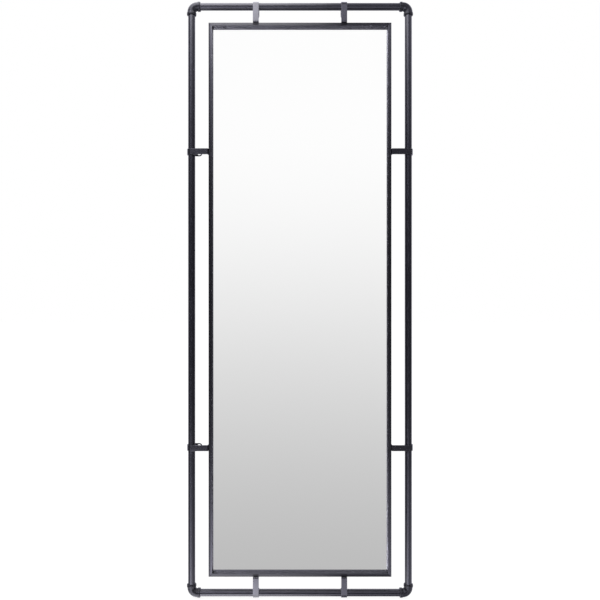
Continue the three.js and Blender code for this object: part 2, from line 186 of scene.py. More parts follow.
def tidy_normals():
    """In edit mode, merges doubles and makes all faces of the piece look the same way."""
    bpy.ops.mesh.select_all(action="SELECT")
    bpy.ops.mesh.remove_doubles(threshold=0.01 * MM)
    bpy.ops.mesh.normals_make_consistent(inside=False)


def look(piece, way, test):
    """In edit mode, turns the selected faces over if the face that is tested for looks
    against a direction along Y."""
    shape = bmesh.from_edit_mesh(piece.data)
    face = next(f for f in shape.faces if test(f))
    if face.normal.y * way < 0:
        bpy.ops.mesh.flip_normals()


def modify(piece, kind, **settings):
    """Adds a modifier to a piece and applies it."""
    only(piece)
    modifier = piece.modifiers.new(kind.title(), kind)
    for name, value in settings.items():
        setattr(modifier, name, value)
    bpy.ops.object.modifier_apply(modifier=modifier.name)


def rod(name, radius, front, back, x=0, z=0, sides=32):
    """A round or many-sided bar along Y, from its front to its back, in millimetres."""
    bpy.ops.mesh.primitive_cylinder_add(
        vertices=sides, radius=radius * MM, depth=(back - front) * MM,
        location=(x * MM, (front + back) / 2 * MM, z * MM), rotation=(QUARTER, 0, 0),
    )
    return added(name)


def cut_away(piece, cutter):
    modify(piece, "BOOLEAN", operation="DIFFERENCE", solver="EXACT", object=cutter)
    bpy.data.objects.remove(cutter)


def smooth(piece, angle):
    """Shades a piece smooth, but not over edges sharper than an angle in degrees."""
    only(piece)
    bpy.ops.object.shade_smooth_by_angle(angle=math.radians(angle))


def soften(piece, width, segments=2, angle=35):
    """Breaks a piece's sharp edges and shades it smooth, its flat faces flat."""
    modify(
        piece, "BEVEL", width=width * MM, segments=segments,
        limit_method="ANGLE", angle_limit=math.radians(angle),
    )
    smooth(piece, 50)
    modify(piece, "WEIGHTED_NORMAL", keep_sharp=True)


def about_y(angle):
    return Euler((0, angle, 0)).to_matrix()


def placed(pattern, name, place=(0, 0, 0), turn=0.0, twist=0.0, tip=None):
    """A copy of a pattern with a mesh of its own. It is twisted about its own Y axis, tipped,
    turned about Y and put in its place, all of which go into the mesh."""
    only(pattern)
    bpy.ops.object.duplicate()
    piece = bpy.context.object
    piece.name = piece.data.name = name
    stand = about_y(twist)
    if tip:
        stand = Euler(tip).to_matrix() @ stand
    stand = about_y(turn) @ stand
    piece.rotation_mode = "QUATERNION"
    piece.rotation_quaternion = stand.to_quaternion()
    x, y, z = place
    piece.location = (x * MM, (y + AXIS_Y) * MM, z * MM)
    only(piece)
    bpy.ops.object.transform_apply(location=True, rotation=True, scale=True)
    piece.rotation_mode = "XYZ"
    return piece


def discard(*patterns):
    for pattern in patterns:
        bpy.data.objects.remove(pattern)


def belongs(piece, node, slot, *materials):
    """A finished piece rides with the object, stands for its CAD node and has its finish."""
    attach(piece, "root")
    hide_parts(node)
    piece.data.materials.clear()
    for material in materials:
        piece.data.materials.append(material)


# ------------------------------------------------------------------ shader building

def put(tree, kind, at_x=0, at_y=0, **settings):
    node = tree.nodes.new(kind)
    node.location = (at_x, at_y)
    for name, value in settings.items():
        setattr(node, name, value)
    return node


def feed(tree, socket, value):
    """Sets a socket to a number or a colour, or links another socket to it."""
    if isinstance(value, (int, float)):
        socket.default_value = value
    elif isinstance(value, tuple):
        socket.default_value = (*value, 1.0)
    else:
        tree.links.new(value, socket)


def new_group(name, inputs, outputs):
    """An empty shader node group with its inputs at their usual values."""
    tree = bpy.data.node_groups.new(name, "ShaderNodeTree")
    for label, kind, value in inputs:
        socket = tree.interface.new_socket(label, in_out="INPUT", socket_type=kind)
        socket.default_value = value
    for label, kind in outputs:
        tree.interface.new_socket(label, in_out="OUTPUT", socket_type=kind)
    start = put(tree, "NodeGroupInput", -900)
    end = put(tree, "NodeGroupOutput", 900)
    return tree, start.outputs, end.inputs


def noise(tree, vector, scale, detail, rough, at_x=0, at_y=0):
    node = put(tree, "ShaderNodeTexNoise", at_x, at_y)
    for label, value in (
        ("Vector", vector), ("Scale", scale), ("Detail", detail), ("Roughness", rough)
    ):
        feed(tree, node.inputs[label], value)
    return node.outputs[0]


def math_node(tree, operation, *values, clamp=False, at_x=0, at_y=0):
    node = put(tree, "ShaderNodeMath", at_x, at_y, operation=operation, use_clamp=clamp)
    for socket, value in zip(node.inputs, values):
        feed(tree, socket, value)
    return node.outputs[0]


def spread(tree, value, low, high, to_low=0.0, to_high=1.0, at_x=0, at_y=0):
    """Maps a value from one range to another, held inside it."""
    node = put(tree, "ShaderNodeMapRange", at_x, at_y)
    for label, number in (
        ("Value", value), ("From Min", low), ("From Max", high),
        ("To Min", to_low), ("To Max", to_high),
    ):
        feed(tree, node.inputs[label], number)
    return node.outputs["Result"]


def blend_colour(tree, factor, first, second, at_x=0, at_y=0, how="MIX"):
    node = put(tree, "ShaderNodeMix", at_x, at_y, data_type="RGBA", blend_type=how)
    sockets = [node.inputs[0], node.inputs[6], node.inputs[7]]
    for socket, value in zip(sockets, (factor, first, second)):
        feed(tree, socket, value)
    return node.outputs[2]


def group_in(tree, group, at_x=0, at_y=0, **values):
    """Places a group in a material, with its inputs given by name."""
    node = put(tree, "ShaderNodeGroup", at_x, at_y, node_tree=group)
    for name, value in values.items():
        feed(tree, node.inputs[name], value)
    return node.outputs


def bumped(tree, height, strength, distance, normal=None, at_x=0, at_y=0):
    node = put(tree, "ShaderNodeBump", at_x, at_y)
    node.inputs["Strength"].default_value = strength
    node.inputs["Distance"].default_value = distance * MM
    tree.links.new(height, node.inputs["Height"])
    if normal is not None:
        tree.links.new(normal, node.inputs["Normal"])
    return node.outputs[0]


def new_material(name):
    """A material with a Principled shader: returns it, its tree, the shader's inputs and
    the piece's own coordinates."""
    material = bpy.data.materials.new(name)
    material.use_nodes = True
    tree = material.node_tree
    shader = next(n for n in tree.nodes if n.type == "BSDF_PRINCIPLED")
    place = put(tree, "ShaderNodeTexCoord", -1400)
    return material, tree, shader.inputs, place.outputs["Object"]


# ------------------------------------------------------------------ shared effects

def edge_wear_group():
    """Where an edge is rubbed: 1 on the edge itself, broken up by noise, 0 on open faces."""
    tree, inputs, outputs = new_group(
        "edge_wear",
        [("Vector", "NodeSocketVector", (0, 0, 0)), ("Width", "NodeSocketFloat", 0.0006),
         ("Amount", "NodeSocketFloat", 0.5)],
        [("Mask", "NodeSocketFloat")],
    )
    rounded = put(tree, "ShaderNodeBevel", -600, 200, samples=4)
    tree.links.new(inputs["Width"], rounded.inputs["Radius"])
    plain = put(tree, "ShaderNodeNewGeometry", -600, -100)
    facing = put(tree, "ShaderNodeVectorMath", -400, 100, operation="DOT_PRODUCT")
    tree.links.new(rounded.outputs[0], facing.inputs[0])
    tree.links.new(plain.outputs["Normal"], facing.inputs[1])
    edge = spread(tree, facing.outputs["Value"], 0.999, 0.93, at_x=-200, at_y=100)
    patches = noise(tree, inputs["Vector"], 90, 6, 0.65, -400, -300)
    broken = spread(tree, patches, 0.42, 0.62, at_x=-200, at_y=-300)
    mask = math_node(tree, "MULTIPLY", edge, broken, at_x=0)
    mask = math_node(tree, "MULTIPLY", mask, inputs["Amount"], clamp=True, at_x=200)
    tree.links.new(mask, outputs["Mask"])
    return tree


def lacquer_group():
    """Satin lacquer: slow changes of tone, a fine pebble in the film, and faint rub marks."""
    tree, inputs, outputs = new_group(
        "lacquer_film",
        [("Vector", "NodeSocketVector", (0, 0, 0)), ("Pebble", "NodeSocketFloat", 900.0)],
        [("Tone", "NodeSocketFloat"), ("Film", "NodeSocketFloat"), ("Rub", "NodeSocketFloat")],
    )
    tone = noise(tree, inputs["Vector"], 9, 3, 0.55, -500, 300)
    tone = spread(tree, tone, 0.3, 0.7, at_x=-200, at_y=300)
    tree.links.new(tone, outputs["Tone"])
    film = noise(tree, inputs["Vector"], inputs["Pebble"], 2, 0.5, -500, 0)
    tree.links.new(film, outputs["Film"])
    rub = noise(tree, inputs["Vector"], 45, 7, 0.7, -500, -300)
    rub = spread(tree, rub, 0.5, 0.72, at_x=-200, at_y=-300)
    tree.links.new(rub, outputs["Rub"])
    return tree


def dust_group():
    """Fine dust that lies on faces turned up and thins out in patches."""
    tree, inputs, outputs = new_group(
        "settled_dust",
        [("Vector", "NodeSocketVector", (0, 0, 0)), ("Amount", "NodeSocketFloat", 0.2)],
        [("Mask", "NodeSocketFloat")],
    )
    face = put(tree, "ShaderNodeNewGeometry", -600, 200)
    part = put(tree, "ShaderNodeSeparateXYZ", -400, 200)
    tree.links.new(face.outputs["Normal"], part.inputs[0])
    upward = spread(tree, part.outputs["Z"], 0.35, 1.0, at_x=-200, at_y=200)
    specks = noise(tree, inputs["Vector"], 420, 5, 0.75, -500, -100)
    specks = spread(tree, specks, 0.4, 0.7, at_x=-200, at_y=-100)
    mask = math_node(tree, "MULTIPLY", upward, specks, at_x=0)
    mask = math_node(tree, "MULTIPLY", mask, inputs["Amount"], clamp=True, at_x=200)
    tree.links.new(mask, outputs["Mask"])
    return tree


def foot_shade_group():
    """Painted shade where the feet of the upper and lower straps touch the mirror frame's outer
    edge and keep the light off it.
    """
    tree, inputs, outputs = new_group(
        "painted_foot_shade", [("Vector", "NodeSocketVector", (0, 0, 0))], [("Mask", "NodeSocketFloat")]
    )
    part = put(tree, "ShaderNodeSeparateXYZ", -700)
    tree.links.new(inputs["Vector"], part.inputs[0])
    aside = math_node(tree, "ABSOLUTE", part.outputs["X"], at_x=-500, at_y=100)
    aside = math_node(tree, "SUBTRACT", aside, STRAP_X * MM, at_x=-350, at_y=100)
    aside = math_node(tree, "ABSOLUTE", aside, at_x=-200, at_y=100)
    half = STRAP_WIDTH / 2  # the painted shade fades at the strap's edges, and 7 to 9 mm inwards
    aside = spread(tree, aside, (half - 1) * MM, (half + 0.5) * MM, 1, 0, 0, 100)
    out = math_node(tree, "SUBTRACT", part.outputs["Z"], MIDDLE_Z * MM, at_x=-500, at_y=-100)
    out = math_node(tree, "ABSOLUTE", out, at_x=-350, at_y=-100)
    out = spread(
        tree, out, (FRAME_HALF_Z - 9) * MM, (FRAME_HALF_Z - 7) * MM, 0, 1, -200, -100
    )
    mask = math_node(tree, "MULTIPLY", aside, out, clamp=True, at_x=300)
    tree.links.new(mask, outputs["Mask"])
    return tree


EDGE_WEAR, LACQUER, DUST = edge_wear_group(), lacquer_group(), dust_group()
FOOT_SHADE = foot_shade_group()
DUST_COLOUR = (0.32, 0.31, 0.30)
SHINE_TINT = (0.95, 0.94, 1.0)


# ------------------------------------------------------------------ finishes

def lacquered(
    name, dark, light, worn, ior, rough, pebble, film, wear, casting=0.0, across=None
):
    """Dark satin lacquer on steel. A casting shows the coarse skin of the mould through it.
    A drawn bar's fine lines spread its shine across its length. Under the straps' feet the
    lacquer is made rougher and metallic with its dark colour: painted shade where each strap
    keeps the light off the frame's rounded edge."""
    material, tree, shader, place = new_material(name)
    coat = group_in(tree, LACQUER, -1100, 300, Vector=place, Pebble=pebble)
    edge = group_in(tree, EDGE_WEAR, -1100, 0, Vector=place, Width=0.0006, Amount=wear)
    dust = group_in(tree, DUST, -1100, -250, Vector=place, Amount=0.10)
    colour = blend_colour(tree, coat["Tone"], dark, light, -700, 300)
    colour = blend_colour(tree, edge["Mask"], colour, worn, -500, 300)
    colour = blend_colour(tree, dust["Mask"], colour, DUST_COLOUR, -300, 300)
    tree.links.new(colour, shader["Base Color"])
    metal = math_node(tree, "MULTIPLY", edge["Mask"], 0.7, at_x=-500, at_y=100)
    shine = spread(tree, coat["Rub"], 0, 1, rough, rough + 0.09, -700, 0)
    shine = math_node(tree, "MULTIPLY_ADD", dust["Mask"], 0.8, shine, clamp=True, at_x=-400)
    if across:
        # Painted shade under the straps' feet: rougher, and metallic with the lacquer's dark
        # colour, so the frame's rounded edge goes dark there
        shade_mask = group_in(tree, FOOT_SHADE, -700, -150, Vector=place)
        shine = math_node(tree, "MULTIPLY_ADD", shade_mask["Mask"], 0.2, shine, clamp=True)
        painted_dark = math_node(tree, "MULTIPLY", shade_mask["Mask"], 0.65, at_x=-400, at_y=200)
        metal = math_node(tree, "MAXIMUM", metal, painted_dark, at_x=-300, at_y=100)
        lines = put(tree, "ShaderNodeCombineXYZ", -300, -500)
        for socket, value in zip(lines.inputs, across):
            socket.default_value = value
        tree.links.new(lines.outputs[0], shader["Tangent"])
        shader["Anisotropic"].default_value = 0.8
    tree.links.new(metal, shader["Metallic"])
    tree.links.new(shine, shader["Roughness"])
    shader["IOR"].default_value = ior
    feed(tree, shader["Specular Tint"], SHINE_TINT)
    normal = bumped(tree, coat["Film"], film, 0.02, at_x=-400, at_y=-300)
    if casting:
        coarse = noise(tree, place, 260, 5, 0.6, -1100, -500)
        normal = bumped(tree, coarse, casting, 0.25, normal, -200, -300)
    tree.links.new(normal, shader["Normal"])
    return material


PIPE_LACQUER = lacquered(
    "pipe_lacquer", (0.0035, 0.0035, 0.005), (0.0065, 0.0065, 0.009), (0.22, 0.22, 0.23),
    1.52, 0.28, 900, 0.25, 0.35,
)
ELBOW_LACQUER = lacquered(
    "elbow_lacquer", (0.0035, 0.0035, 0.005), (0.008, 0.008, 0.0105), (0.26, 0.26, 0.27),
    1.39, 0.36, 700, 0.35, 0.55, casting=0.35,
)
# Rails and stiles are one lacquer; the stiles' higher IOR makes them shine brighter than the
# rails, painted light for how the light falls on them
RAIL_LACQUER, STILE_LACQUER = (
    lacquered(
        name, (0.0035, 0.0035, 0.004), (0.006, 0.006, 0.007), (0.20, 0.20, 0.205),
        ior, 0.30, 1100, 0.05, 0.10, across=across,
    )
    for name, ior, across in (
        ("rail_lacquer", 1.46, (0, 0.7, 0.7)), ("stile_lacquer", 1.62, (0.7, 0.7, 0))
    )
)
FRAME_INSIDE = lacquered(
    "frame_inside", (0.008, 0.008, 0.009), (0.013, 0.013, 0.015), (0.12, 0.12, 0.125),
    1.4, 0.5, 1100, 0.04, 0.05,
)
STRAP_LACQUER = lacquered(
    "strap_lacquer", (0.004, 0.004, 0.005), (0.008, 0.008, 0.0095), (0.28, 0.28, 0.285),
    1.72, 0.16, 1000, 0.25, 0.6,
)
SCREW_BLACK = lacquered(
    "black_oxide", (0.010, 0.010, 0.011), (0.018, 0.018, 0.019), (0.26, 0.26, 0.26),
    1.7, 0.36, 1500, 0.3, 0.5,
)


def zinc():
    """Zinc plate: bright, slightly blue, with a faint cloudiness and rubbed edges."""
    material, tree, shader, place = new_material("zinc_plate")
    cloud = noise(tree, place, 160, 5, 0.6, -1100, 300)
    cloud = spread(tree, cloud, 0.35, 0.65, at_x=-900, at_y=300)
    edge = group_in(tree, EDGE_WEAR, -1100, 0, Vector=place, Width=0.0003, Amount=0.6)
    colour = blend_colour(tree, cloud, (0.46, 0.47, 0.49), (0.60, 0.61, 0.62), -600, 300)
    colour = blend_colour(tree, edge["Mask"], colour, (0.76, 0.76, 0.76), -400, 300)
    tree.links.new(colour, shader["Base Color"])
    shader["Metallic"].default_value = 0.95
    tree.links.new(spread(tree, cloud, 0, 1, 0.38, 0.28, -600), shader["Roughness"])
    fine = noise(tree, place, 1800, 3, 0.6, -1100, -300)
    tree.links.new(bumped(tree, fine, 0.2, 0.02, at_x=-400, at_y=-300), shader["Normal"])
    return material


def silvering():
    """The mirror: silver behind clear glass, perfectly even, with the faintest warmth."""
    material, tree, shader, place = new_material("mirror_silver")
    slow = noise(tree, place, 2.2, 2, 0.5, -900, 200)
    colour = blend_colour(tree, slow, (0.985, 0.985, 0.985), (1.0, 1.0, 1.0), -500, 200)
    tree.links.new(colour, shader["Base Color"])
    shader["Metallic"].default_value = 1.0
    shader["Roughness"].default_value = 0.0
    return material


def mottled(name, first, second, scale, detail, shiny, rough, relief):
    """A surface in two tones, whose mottling also sets its roughness and its relief."""
    material, tree, shader, place = new_material(name)
    spots = noise(tree, place, scale, detail, 0.6, -900, 200)
    colour = blend_colour(tree, spots, first, second, -500, 200)
    tree.links.new(colour, shader["Base Color"])
    tree.links.new(spread(tree, spots, 0.3, 0.7, shiny, rough, -500), shader["Roughness"])
    tree.links.new(bumped(tree, spots, 0.2, relief, at_x=-400, at_y=-300), shader["Normal"])
    return material


def hardboard():
    """Pressed hardboard: matted brown fibres, darker flecks and a wire screen's imprint."""
    material, tree, shader, place = new_material("hardboard")
    stretch = put(tree, "ShaderNodeMapping", -1200, 300)
    stretch.inputs["Scale"].default_value = (1.0, 1.0, 0.35)
    tree.links.new(place, stretch.inputs["Vector"])
    fibre = noise(tree, stretch.outputs[0], 520, 8, 0.72, -950, 400)
    clump = noise(tree, place, 14, 5, 0.6, -950, 150)
    fleck = noise(tree, stretch.outputs[0], 210, 6, 0.6, -950, -100)
    fleck = spread(tree, fleck, 0.62, 0.72, at_x=-700, at_y=-100)
    colour = blend_colour(
        tree, spread(tree, fibre, 0.3, 0.7, at_x=-700, at_y=400),
        (0.125, 0.066, 0.032), (0.235, 0.135, 0.070), -500, 300,
    )
    colour = blend_colour(
        tree, spread(tree, clump, 0.3, 0.7, 0.0, 0.45, -700, 150), colour,
        (0.165, 0.092, 0.048), -300, 300,
    )
    colour = blend_colour(
        tree, math_node(tree, "MULTIPLY", fleck, 0.6, at_x=-500, at_y=-100), colour,
        (0.055, 0.030, 0.016), -100, 300,
    )
    edge = group_in(tree, EDGE_WEAR, -950, -350, Vector=place, Width=0.0008, Amount=0.6)
    colour = blend_colour(tree, edge["Mask"], colour, (0.34, 0.22, 0.13), 50, 300)
    tree.links.new(colour, shader["Base Color"])
    tree.links.new(spread(tree, fibre, 0.3, 0.7, 0.72, 0.9, -500, 50), shader["Roughness"])
    waves = []
    for axis in ("X", "Z"):
        wave = put(
            tree, "ShaderNodeTexWave", -950, -600, wave_type="BANDS", bands_direction=axis
        )
        for label, value in (
            ("Vector", place), ("Scale", 140), ("Distortion", 1.2), ("Detail", 2)
        ):
            feed(tree, wave.inputs[label], value)
        waves.append(wave.outputs[1])
    screen = math_node(tree, "MULTIPLY", *waves, at_x=-700, at_y=-600)
    normal = bumped(tree, screen, 0.35, 0.12, at_x=-450, at_y=-500)
    normal = bumped(tree, fibre, 0.5, 0.10, normal, -250, -500)
    tree.links.new(normal, shader["Normal"])
    return material


ZINC, SILVER, HARDBOARD = zinc(), silvering(), hardboard()
GLASS_EDGE = mottled(
    "glass_edge", (0.10, 0.22, 0.18), (0.16, 0.32, 0.27), 700, 4, 0.25, 0.5, 0.03
)
BACK_PAINT = mottled(
    "mirror_back_paint", (0.20, 0.21, 0.22), (0.27, 0.28, 0.29), 35, 5, 0.45, 0.6, 0.05
)


# ------------------------------------------------------------------ pipes and elbows

def pipe_pattern(length):
    """A steel tube along Z about the origin, with a wall and broken edges at its ends."""
    bpy.ops.mesh.primitive_cylinder_add(
        vertices=72, radius=PIPE_RADIUS * MM, depth=length * MM, end_fill_type="NOTHING"
    )
    pipe = added("pipe_pattern")
    modify(pipe, "SOLIDIFY", thickness=PIPE_WALL * MM, offset=-1)
    soften(pipe, 0.2)
    return pipe


def ring_to(there, radius, here, before, axis):
    """Extrudes the selected ring along a leg and gives it a new radius."""
    step = [0, 0, 0]
    step[axis] = there - here
    draw_out(*step)
    share = radius / before
    size, centre = [share] * 3, [0, 0, 0]
    size[axis], centre[axis] = 1, there * MM
    bpy.ops.transform.resize(value=size, center_override=centre)


def along(rings, start, axis):
    """Draws the selected ring through a list of distances and radii along a leg."""
    here, before = start
    for there, radius in rings:
        ring_to(there, radius, here, before, axis)
        here, before = there, radius


def elbow_pattern():
    """A cast elbow with its corner at the origin and its mouths along +X and +Z."""
    mouth, radius = BAND[0]
    bpy.ops.mesh.primitive_circle_add(
        vertices=72, radius=radius * MM, location=(mouth * MM, 0, 0), rotation=(0, QUARTER, 0)
    )
    elbow = added("elbow_pattern")
    edit(elbow)
    bpy.ops.mesh.select_all(action="SELECT")
    along(BAND[1:], BAND[0], 0)
    spin(16, -QUARTER, (BEND_RADIUS, 0, BEND_RADIUS), (0, 1, 0))
    along(BAND[-2::-1], BAND[-1], 2)
    along(MOUTH, BAND[0], 2)
    choose("EDGE", at(x=mouth))
    along(MOUTH, BAND[0], 0)
    inner = BORE_RADIUS + 0.1
    choose("EDGE", lambda e: any(
        at(**{leg: BEND_RADIUS})(e)
        and all(math.hypot(v.co.y, v.co[other]) < inner * MM for v in e.verts)
        for leg, other in (("x", 2), ("z", 0))
    ))
    bpy.ops.mesh.bridge_edge_loops()
    tidy_normals()
    done()
    for x, z in ((BAND_MIDDLE, 0), (0, BAND_MIDDLE)):
        cut_away(elbow, rod("drill", DRILL_RADIUS, DRILL_FRONT, DRILL_BACK, x, z))
    smooth(elbow, 35)
    return elbow


def set_screw_pattern():
    """A headless screw along +Y with a hexagonal socket and a chamfered end."""
    back, deep = SET_SCREW_BACK, 1.2
    screw = rod("set_screw_pattern", SET_SCREW_RADIUS, SET_SCREW_FRONT, back)
    edit(screw)
    choose("FACE", lambda f: abs(f.normal.y) > 0.9)
    bpy.ops.mesh.inset(thickness=0.25 * MM)
    rim = (SET_SCREW_RADIUS - 0.05) * MM
    choose("EDGE", lambda e: at(y=back)(e) and all(v.co.xz.length > rim for v in e.verts))
    bpy.ops.mesh.bevel(offset=0.2 * MM, segments=1)
    done()
    cut_away(screw, rod("hexagon", 0.85, back - deep, back + deep, sides=6))
    smooth(screw, 32)
    return screw


def make_pipe_frame():
    half_x = SPAN_X / 2
    across = pipe_pattern(SPAN_X - 2 * PIPE_INSET)
    upright = pipe_pattern(SPAN_Z - 2 * PIPE_INSET)
    for name, pattern, place, turn in (
        ("pipe_top", across, (0, 0, AXIS_TOP), QUARTER),
        ("pipe_bottom", across, (0, 0, AXIS_BOTTOM), QUARTER),
        ("pipe_left", upright, (-half_x, 0, MIDDLE_Z), 0),
        ("pipe_right", upright, (half_x, 0, MIDDLE_Z), 0),
    ):
        pipe = placed(pattern, f"{name}_tube", place, turn)
        belongs(pipe, name, "pipe", PIPE_LACQUER)
    elbow, screw = elbow_pattern(), set_screw_pattern()
    for where, x, z, turn, first, second in (
        ("bottom_left", -half_x, AXIS_BOTTOM, 0, "across", "upright"),
        ("bottom_right", half_x, AXIS_BOTTOM, -QUARTER, "upright", "across"),
        ("top_right", half_x, AXIS_TOP, 2 * QUARTER, "across", "upright"),
        ("top_left", -half_x, AXIS_TOP, QUARTER, "upright", "across"),
    ):
        piece = placed(elbow, f"elbow_{where}_casting", (x, 0, z), turn)
        belongs(piece, f"elbow_{where}", "elbow", ELBOW_LACQUER)
        for pipe, leg in ((first, (BAND_MIDDLE, 0, 0)), (second, (0, 0, BAND_MIDDLE))):
            step = about_y(turn) @ Vector(leg)
            twist = 0.4 + 0.009 * x + 0.7 * step.x  # each screw stopped at its own turn
            name = f"set_screw_{where}_{pipe}"
            piece = placed(screw, f"{name}_socket", (x + step.x, 0, z + step.z), 0, twist)
            belongs(piece, name, "black_screw", SCREW_BLACK)
    discard(across, upright, elbow, screw)


# ------------------------------------------------------------------ mirror frame

def member_pattern(half):
    """A frame member along X with its outer side on z = 0: a lip with a rounded face, and
    the rebate's side behind it, mitred at both ends."""
    depth = LIP_BACK - FRONT
    bpy.ops.mesh.primitive_cube_add(
        size=1, location=(0, (FRONT + LIP_BACK) / 2 * MM, -FACE_WIDTH / 2 * MM),
        scale=(2 * half * MM, depth * MM, FACE_WIDTH * MM),
    )
    member = added("member_pattern")
    edit(member)
    cuts = [0.5, 1.1, 1.8, 2.6, 3.5, 4.5, REBATE, 7.2, 8.5]
    for inward in cuts:
        bpy.ops.mesh.select_all(action="SELECT")
        bpy.ops.mesh.bisect(plane_co=(0, 0, -inward * MM), plane_no=(0, 0, 1))
    radius = (FACE_WIDTH**2 + FACE_DROP**2) / (2 * FACE_DROP)
    for inward in (0, *cuts):
        choose("VERT", at(y=FRONT, z=-inward))
        move(y=radius - math.sqrt(radius**2 - (FACE_WIDTH - inward) ** 2))
    choose("FACE", lambda f: f.normal.y > 0.9 and middle(f).z > -REBATE)
    push(BACK - LIP_BACK)
    end = half - MITRE_GAP
    for side in (1, -1):
        bpy.ops.mesh.select_all(action="SELECT")
        bpy.ops.mesh.bisect(
            plane_co=(side * end * MM, 0, 0), plane_no=(side, 0, -1),
            use_fill=True, clear_outer=True,
        )
    tidy_normals()
    done()
    soften(member, 0.3, 3)
    return member


def make_mirror_frame():
    rail, stile = member_pattern(FRAME_HALF_X), member_pattern(FRAME_HALF_Z)
    for name, pattern, place, turn in (
        ("frame_rail_top", rail, (0, 0, MIDDLE_Z + FRAME_HALF_Z), 0),
        ("frame_rail_bottom", rail, (0, 0, MIDDLE_Z - FRAME_HALF_Z), 2 * QUARTER),
        ("frame_stile_left", stile, (-FRAME_HALF_X, 0, MIDDLE_Z), -QUARTER),
        ("frame_stile_right", stile, (FRAME_HALF_X, 0, MIDDLE_Z), QUARTER),
    ):
        piece = placed(pattern, f"{name}_section", place, turn)
        lacquer = RAIL_LACQUER if pattern == rail else STILE_LACQUER
        belongs(piece, name, "mirror_frame", lacquer, FRAME_INSIDE)
        inward = about_y(turn) @ Vector((0, 0, -1))
        for face in piece.data.polygons:
            face.material_index = 1 if face.normal.dot(inward) > 0.9 else 0
    discard(rail, stile)


def sheet(name, front, thick, bevel, segments):
    """A sheet that fills the rebate, its edges broken all round."""
    bpy.ops.mesh.primitive_cube_add(
        size=1, location=(0, (front + thick / 2 + AXIS_Y) * MM, MIDDLE_Z * MM),
        scale=(2 * SHEET_HALF_X * MM, thick * MM, 2 * SHEET_HALF_Z * MM),
    )
    piece = added(name)
    edit(piece)
    bpy.ops.mesh.select_all(action="SELECT")
    bpy.ops.mesh.bevel(offset=bevel * MM, segments=segments)
    tidy_normals()
    done()
    return piece


def make_glass_and_board():
    glass = sheet("mirror_glass_plate", GLASS_FRONT, GLASS_THICK, 0.6, 1)
    belongs(glass, "mirror_glass", "mirror_glass", SILVER, GLASS_EDGE, BACK_PAINT)
    for face in glass.data.polygons:
        face.material_index = 0 if face.normal.y < -0.9 else 2 if face.normal.y > 0.9 else 1
    board = sheet("backing_board_sheet", BOARD_FRONT, BOARD_THICK, 0.5, 2)
    smooth(board, 35)
    belongs(board, "backing_board", "board", HARDBOARD)


# ------------------------------------------------------------------ straps, clips and screws

def strap_pattern(has_eye):
    """A strap bent from flat bar about a pipe along Z, with its mirror frame towards +X. The
    face next to the pipe is drawn first, and the bar's thickness goes on outside it."""
    half = STRAP_WIDTH / 2
    bend_x, bend_y = FOOT_X - FOOT_BEND, FOOT_BEND - STRAP_INNER
    bpy.ops.mesh.primitive_plane_add(
        size=STRAP_WIDTH * MM, location=(FOOT_X * MM, (FOOT_BACK - half) * MM, 0),
        rotation=(0, QUARTER, 0),
    )
    strap = added("strap_pattern")
    edit(strap)
    choose("EDGE", at(y=FOOT_BACK - STRAP_WIDTH))
    move(y=bend_y - (FOOT_BACK - STRAP_WIDTH))
    spin(5, QUARTER, (bend_x, bend_y, 0), (0, 0, 1))
    draw_out(x=-bend_x)
    spin(28, 2 * QUARTER, (0, 0, 0), (0, 0, 1))
    if has_eye:
        draw_out(x=STEP_FROM)
        draw_out(x=STEP_TO - STEP_FROM, y=EYE_STEP)
        draw_out(x=EYE_X + half - STEP_TO)
        choose("EDGE", lambda e: at(x=STEP_FROM, y=STRAP_INNER)(e) or at(x=STEP_TO)(e))
        bpy.ops.mesh.bevel(offset=1.3 * MM, segments=4)
        choose("VERT", at(x=EYE_X + half))
        bpy.ops.mesh.bevel(offset=(half - 0.02) * MM, segments=14, affect="VERTICES")
    else:
        draw_out(x=STRAP_END)
        choose("VERT", at(x=STRAP_END, y=STRAP_INNER))
        bpy.ops.mesh.bevel(offset=STRAP_CORNER * MM, segments=5, affect="VERTICES")
    choose("VERT", at(x=FOOT_X, y=FOOT_BACK))
    bpy.ops.mesh.bevel(offset=STRAP_CORNER * MM, segments=5, affect="VERTICES")
    tidy_normals()
    # its arm looks forward
    look(strap, -1, lambda f: 10 < middle(f).x < 40 and middle(f).y < 0)
    done()
    modify(strap, "SOLIDIFY", thickness=STRAP_THICK * MM, offset=1)
    if has_eye:
        plate = STRAP_INNER + EYE_STEP + STRAP_THICK / 2
        punch = rod("punch", EYE_RADIUS, plate - 5, plate + 5, EYE_X, sides=48)
        cut_away(strap, punch)
    soften(strap, 0.3, 2, 40)
    return strap


# A pan head's outline above its straight side: shares of its height and of its radius
PAN_HEAD = [(0.4, 1.0), (0.62, 0.965), (0.78, 0.88), (0.89, 0.76), (0.96, 0.6), (1.0, 0.38)]


def screw_pattern(radius, height, shank, grip, slot):
    """A pan-head screw along +Y, its seat at y = 0, with a cross recess. The shank reaches
    as far as the grip and ends in a point."""
    here, before = PAN_HEAD[0]
    screw = rod("screw_pattern", radius, 0, here * height, sides=40)
    edit(screw)
    choose("FACE", lambda f: f.normal.y > 0.9)
    for up, share in PAN_HEAD[1:]:
        push((up - here) * height)
        pinch(share / before, up * height)
        here, before = up, share
    choose("FACE", lambda f: f.normal.y < -0.9)
    bpy.ops.mesh.inset(thickness=(radius - shank) * MM)
    push(shank - grip)
    push(-shank)
    pinch(0.4, -grip)
    tidy_normals()
    done()
    for turn in (0, QUARTER):
        bpy.ops.mesh.primitive_cube_add(
            size=1, location=(0, height * MM, 0), rotation=(0, turn, 0),
            scale=(1.24 * radius * MM, 0.95 * height * MM, slot * MM),
        )
        blade = added("blade")
        edit(blade)
        choose("VERT", lambda v: v.co.y < height * MM)
        pinch(0.6, 0)
        done()
        cut_away(screw, blade)
    smooth(screw, 30)
    return screw


